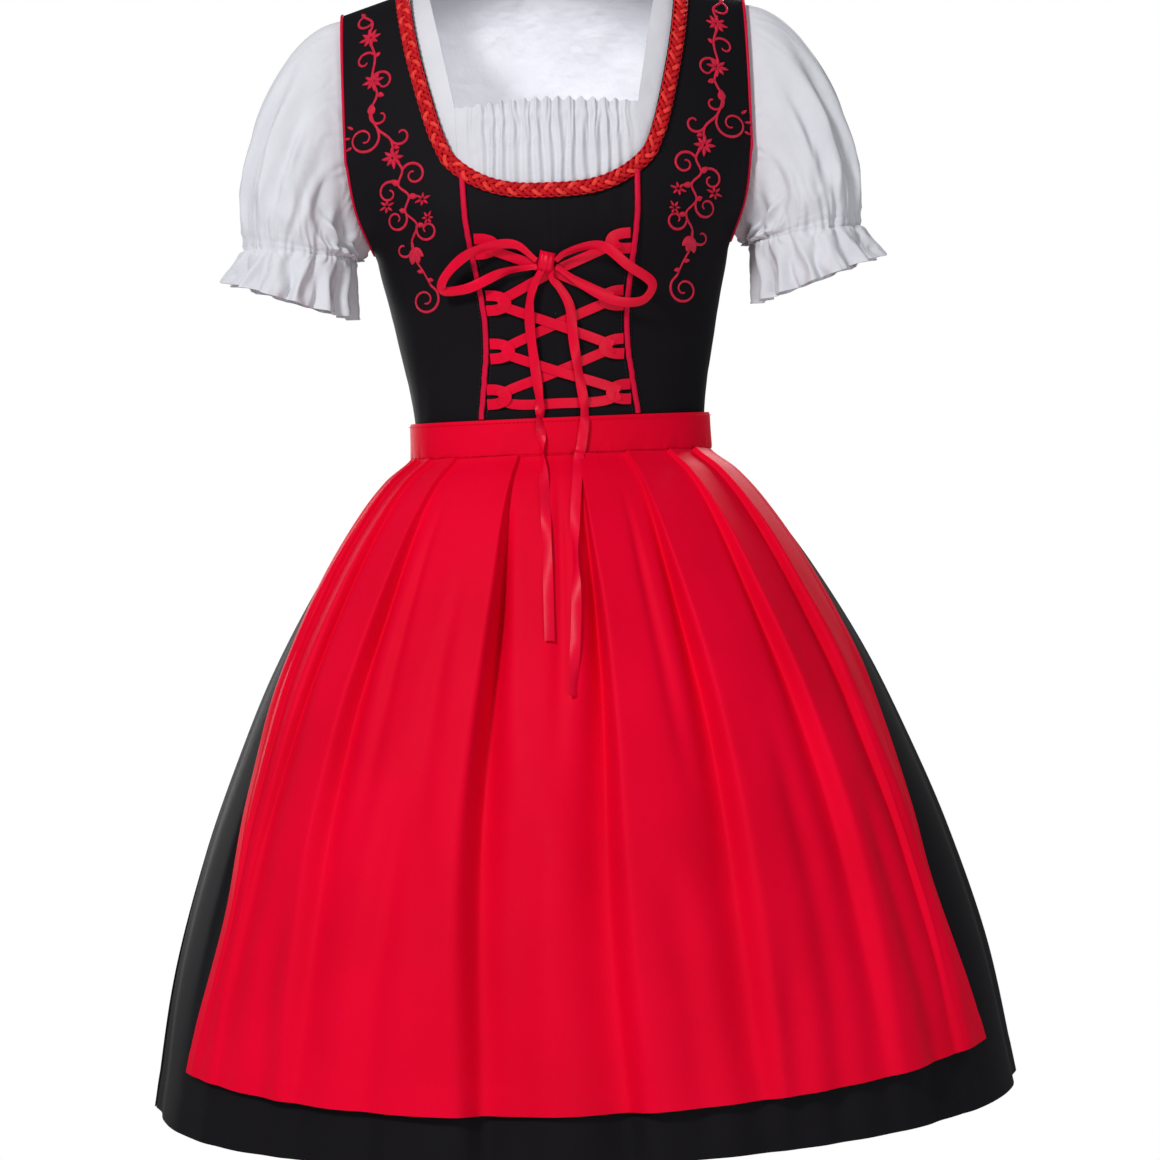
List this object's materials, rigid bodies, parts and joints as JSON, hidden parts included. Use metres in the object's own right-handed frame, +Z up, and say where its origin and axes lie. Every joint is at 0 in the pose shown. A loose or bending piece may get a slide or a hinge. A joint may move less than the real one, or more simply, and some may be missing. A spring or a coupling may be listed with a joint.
{
  "type": "dirndl",
  "caption": "Knee-length folk dress with laced bodice, gathered skirt, pleated apron tied behind and puff-sleeved blouse",
  "frame": {"origin": "midway between the shoulders, level with the neck ends of the shoulder seams, where the wearer carries the dress", "axes": "+Z up, the wearer faces -Y, +X is the right side of the picture"},
  "size_m": [0.7835, 0.602, 0.9955],
  "materials": {
    "dress_cloth": "matte black woven cotton blend",
    "apron_cloth": "bright red cotton with a faint sheen",
    "piping_cloth": "pinkish red bias piping",
    "ribbon": "narrow red satin ribbon",
    "braid": "plaited red cord braid",
    "blouse_cloth": "matte white cotton"
  },
  "bodies": {
    "root": {"apron_panel": "apron_cloth", "apron_tie_end_left": "apron_cloth", "apron_tie_end_right": "apron_cloth", "apron_tie_knot": "apron_cloth", "apron_tie_left": "apron_cloth", "apron_tie_loop_left": "apron_cloth", "apron_tie_loop_right": "apron_cloth", "apron_tie_right": "apron_cloth", "apron_waistband": "apron_cloth", "armhole_piping_back_left": "piping_cloth", "armhole_piping_back_right": "piping_cloth", "armhole_piping_front_left": "piping_cloth", "armhole_piping_front_right": "piping_cloth", "blouse_back": "blouse_cloth", "blouse_centre_front": "blouse_cloth", "blouse_side_front_left": "blouse_cloth", "blouse_side_front_right": "blouse_cloth", "blouse_sleeve_left": "blouse_cloth", "blouse_sleeve_right": "blouse_cloth", "bodice_back_left": "dress_cloth", "bodice_back_right": "dress_cloth", "bodice_centre_front_left": "dress_cloth", "bodice_centre_front_right": "dress_cloth", "bodice_side_front_left": "dress_cloth", "bodice_side_front_right": "dress_cloth", "bow_knot": "ribbon", "bow_loop_left": "ribbon", "bow_loop_right": "ribbon", "bow_tail_left": "ribbon", "bow_tail_right": "ribbon", "front_piping_left": "piping_cloth", "front_piping_right": "piping_cloth", "lacing_bar": "ribbon", "lacing_loop_1_left": "ribbon", "lacing_loop_1_right": "ribbon", "lacing_loop_2_left": "ribbon", "lacing_loop_2_right": "ribbon", "lacing_loop_3_left": "ribbon", "lacing_loop_3_right": "ribbon", "lacing_loop_4_left": "ribbon", "lacing_loop_4_right": "ribbon", "lacing_over_1": "ribbon", "lacing_over_2": "ribbon", "lacing_over_3": "ribbon", "lacing_under_1": "ribbon", "lacing_under_2": "ribbon", "lacing_under_3": "ribbon", "neck_braid_back": "braid", "neck_braid_front": "braid", "skirt_back": "dress_cloth", "skirt_front": "dress_cloth"}
  },
  "joints": []
}
